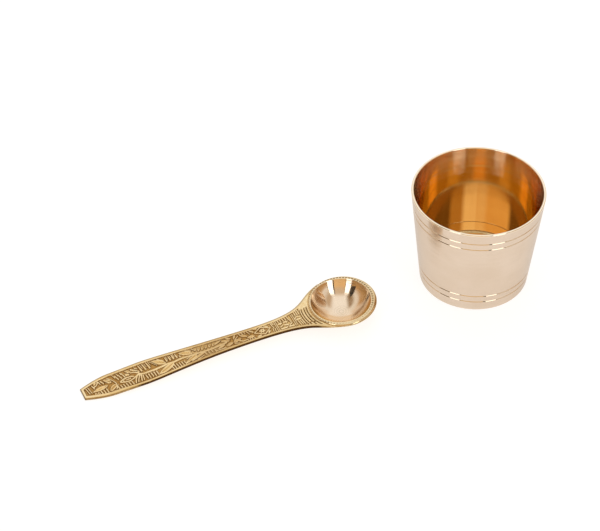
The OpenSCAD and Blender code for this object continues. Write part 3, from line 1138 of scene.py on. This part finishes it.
# Spoon braze
# The thin seam of filler alloy that holds the hollowed end of the handle to the bowl. It runs between the
# rolled rim and the inner end of the handle, a little below the handle's top.
seam_steps = 120
seam_sink = 0.25
seam_lift = 0.05
first_turn = swing[0, :top_rows]
seam_turn = np.linspace(first_turn[2], first_turn[-3], seam_steps)
seam_top = np.interp(seam_turn, first_turn, z[0, :top_rows]) - seam_sink
seam_bottom = np.full(seam_steps, z[0, near_bottom:far_bottom + 1].max() + seam_lift)


def back_radius(height, grow):
    """Radius of the bowl's outside at a height, grown by a gap."""
    ball = np.sqrt((back_ball_r + grow)**2 - (height - back_ball_z)**2)
    return np.minimum(bowl_r + grow, ball)


seam_points = []
for height, grow in [
    (seam_top, 0.0),
    (seam_top, spoon_braze_gap),
    (seam_bottom, spoon_braze_gap),
    (seam_bottom, 0.0),
]:
    seam_r = back_radius(height, grow)
    seam_points.append(np.stack([seam_r * np.cos(seam_turn), seam_r * np.sin(seam_turn), height], axis=-1))
spoon_seam = skin("Spoon_Braze", np.stack(seam_points, axis=1), capped=(0, -1))
spoon_seam.data.transform(spoon_place)
spoon_seam.data.materials.append(braze_alloy)
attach(spoon_seam, "spoon")
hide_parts("spoon_braze")

# Floor
# A plain white table top that the set stands on, painted and far wider than the view.
# It glows a little, as a lit table does, so that it stays white to its edges.
floor_size = 3.0


def lay_flat(name, corners, material):
    """A flat piece of the stage, with one face."""
    mesh = bpy.data.meshes.new(name)
    mesh.from_pydata([tuple(corner) for corner in corners], [], [tuple(range(len(corners)))])
    mesh.materials.append(material)
    piece = bpy.data.objects.new(name, mesh)
    scene.collection.objects.link(piece)
    return piece


floor_paint = bpy.data.materials.new("Floor White")
floor_tree = blank_tree(floor_paint)
floor_shader = place(floor_tree, "ShaderNodeBsdfPrincipled", {
    "Base Color": (0.35, 0.35, 0.35, 1),
    "Roughness": 0.9,
    "Specular IOR Level": 0.0,
    "Emission Color": (1, 1, 1, 1),
    "Emission Strength": 0.8,
})
place(floor_tree, "ShaderNodeOutputMaterial", {"Surface": floor_shader.outputs[0]})
floor_corners = [(-1, -1), (1, -1), (1, 1), (-1, 1)]
lay_flat("Floor", [(floor_size * a, floor_size * b, 0) for a, b in floor_corners], floor_paint)

# Studio light
# Two tall soft boxes stand on the viewer's side, each in a dark frame, with a black cloth beside the left
# one. The room about them has a bright ceiling and back, and brown sides and front.
spoon_spot = np.array([-0.066, -0.029, 0.01])
frame_end = 0.03
frame_gap = 0.01
flag_away = 1.2
lamp_radiance = 2.0

# The boxes and the black cloth show in the first two reflections only. Deep inside the cup, where the light
# goes from wall to wall, they would leave streaks that its blurred old polish does not show. Lamps and the
# room count one bounce more than a cloth does.
cloth_limit = 2.5
room_limit = 3.5
third_limit = 4.5
fourth_limit = 5.5


def mirrored_less(tree, limit):
    """1 where light is mirrored less often than the limit on its way to the camera, and 0 elsewhere."""
    return calculate(tree, "LESS_THAN", place(tree, "ShaderNodeLightPath").outputs["Ray Depth"], limit)


def hang_card(name, corners, cloth):
    """A flat card that shows in reflections only."""
    card = lay_flat(name, corners, cloth)
    card.visible_camera = False
    card.visible_shadow = False


def soft_box(name, bottom, top, width, radiance, frame_left, frame_right):
    """A tall area light between two points, turned to the set, with its dark frame behind it."""
    bottom = np.array(bottom) + spoon_spot
    top = np.array(top) + spoon_spot
    middle = (bottom + top) / 2
    up = (top - bottom) / np.linalg.norm(top - bottom)
    back = middle - spoon_spot
    back -= up * (back @ up)
    back /= np.linalg.norm(back)
    right = np.cross(up, back)
    tall = np.linalg.norm(top - bottom)
    lamp = bpy.data.lights.new(name, "AREA")
    lamp.shape = "RECTANGLE"
    lamp.size = width
    lamp.size_y = tall
    lamp.energy = radiance * math.pi * width * tall
    lamp.use_nodes = True
    lamp_tree = lamp.node_tree
    strength = lamp_tree.nodes["Emission"].inputs["Strength"]
    lamp_tree.links.new(mirrored_less(lamp_tree, room_limit), strength)
    holder = bpy.data.objects.new(name, lamp)
    columns = np.column_stack([right, up, back, middle])
    holder.matrix_world = Matrix(np.vstack([columns, [0, 0, 0, 1]]).tolist())
    holder.visible_camera = False
    scene.collection.objects.link(holder)
    half_w = width / 2
    half_h = tall / 2 + frame_end
    hang_card(name + " Frame", [
        middle + right * across + up * along + back * frame_gap
        for across, along in [
            (-half_w - frame_left, -half_h),
            (half_w + frame_right, -half_h),
            (half_w + frame_right, half_h),
            (-half_w - frame_left, half_h),
        ]
    ], black_cloth)


black_cloth = bpy.data.materials.new("Black Cloth")
black_tree = blank_tree(black_cloth)
black_shader = place(black_tree, "ShaderNodeBsdfPrincipled", {
    "Base Color": (0.02, 0.02, 0.02, 1),
    "Roughness": 0.9,
})
black_mix = place(black_tree, "ShaderNodeMixShader", {
    0: mirrored_less(black_tree, cloth_limit),
    1: place(black_tree, "ShaderNodeBsdfTransparent").outputs[0],
    2: black_shader.outputs[0],
})
place(black_tree, "ShaderNodeOutputMaterial", {"Surface": black_mix.outputs[0]})
soft_box("Right Soft Box", (0.54, -0.84, 0.31), (0.52, -0.39, 1.197), 0.31, lamp_radiance, 0.08, 0.03)
soft_box("Left Soft Box", (-0.54, -0.85, 0.364), (-0.489, -0.472, 1.154), 0.32, lamp_radiance, 0.03, 0.03)
flag_corners = np.array([
    (-0.78, -0.41, 0.40),
    (-0.58, -0.59, 0.53),
    (-0.53, -0.49, 0.69),
    (-0.50, -0.06, 0.86),
    (-0.71, -0.20, 0.67),
])
hang_card("Black Flag", flag_corners * flag_away + spoon_spot, black_cloth)

world = bpy.data.worlds.new("Studio Room")
room = blank_tree(world)
look = place(room, "ShaderNodeTexCoord").outputs["Generated"]
look_x, look_y, look_z = place(room, "ShaderNodeSeparateXYZ", {0: look}).outputs
off_middle = calculate(room, "ABSOLUTE", look_x)


def blend(value, low, high, first, second):
    """A colour of the room that passes from one to another as a value rises."""
    return mix_colour(room, spread(room, value, low, high), first, second)


front_colour = blend(look_z, 0.66, 0.82, (0.84, 0.56, 0.28, 1), (0.66, 0.52, 0.38, 1))
middle_colour = blend(look_y, -0.42, -0.2, front_colour, (1, 0.985, 0.97, 1))
side_foot = blend(look_y, 0.45, 0.65, (0.56, 0.33, 0.14, 1), (0.85, 0.7, 0.57, 1))
side_low = blend(look_z, 0.48, 0.58, side_foot, (0.85, 0.8, 0.74, 1))
side_high = blend(look_x, -0.2, 0.2, (0.36, 0.25, 0.15, 1), (0.58, 0.44, 0.31, 1))
side_colour = blend(look_z, 0.70, 0.80, side_low, side_high)
wall_colour = blend(off_middle, 0.3, 0.45, middle_colour, side_colour)

# The cup shows its own share of the room: five walls about it in its third reflection, a brown haze in its
# fourth, and only a soft front, back and sides in the deeper ones.
wall_soft = 9
azimuth = calculate(room, "ARCTAN2", look_x, calculate(room, "MULTIPLY", look_y, -1.0))
cup_colour = (1.17, 1.18, 1.18, 1)
for wall_at, next_colour in [
    (-130, (0.6, 0.41, 0.15, 1)),
    (-78, (0.2, 0.12, 0.03, 1)),
    (44, (1.02, 0.82, 0.5, 1)),
    (142, (1.08, 1.0, 0.88, 1)),
]:
    starts = math.radians(wall_at - wall_soft)
    ends = math.radians(wall_at + wall_soft)
    cup_colour = blend(azimuth, starts, ends, cup_colour, next_colour)
deep_along = blend(look_y, -0.3, 0.3, (1.15, 1.35, 1.0, 1), (1.5, 1.45, 0.7, 1))
deep_colour = blend(off_middle, 0.3, 0.65, deep_along, (0.68, 0.69, 0.28, 1))
haze_colour = mix_colour(room, mirrored_less(room, fourth_limit), deep_colour, (0.42, 0.29, 0.12, 1))
inside_colour = mix_colour(room, mirrored_less(room, third_limit), haze_colour, cup_colour)
room_colour = mix_colour(room, mirrored_less(room, room_limit), inside_colour, wall_colour)
strength = spread(room, look_z, 0.0, 0.45, 0.5, 1.0)
light = place(room, "ShaderNodeBackground", {"Color": room_colour, "Strength": strength})
place(room, "ShaderNodeOutputWorld", {"Surface": light.outputs[0]})
scene.world = world

# Camera
# Placed as the photograph was taken: in front of the set, looking down on it with a long lens.
# Light may bounce often enough for the reflections from wall to wall inside the cup.
lens = bpy.data.cameras.new("Camera")
lens.lens = 141.6
lens.sensor_width = 36.0
lens.clip_end = 20.0
camera = bpy.data.objects.new("Camera", lens)
camera.location = (-0.08584, -0.8474, 0.8072)
camera.rotation_euler = (math.radians(46.5615), 0, 0)
scene.collection.objects.link(camera)
scene.camera = camera
scene.view_settings.view_transform = "Standard"
scene.cycles.max_bounces = 24
scene.cycles.glossy_bounces = 20
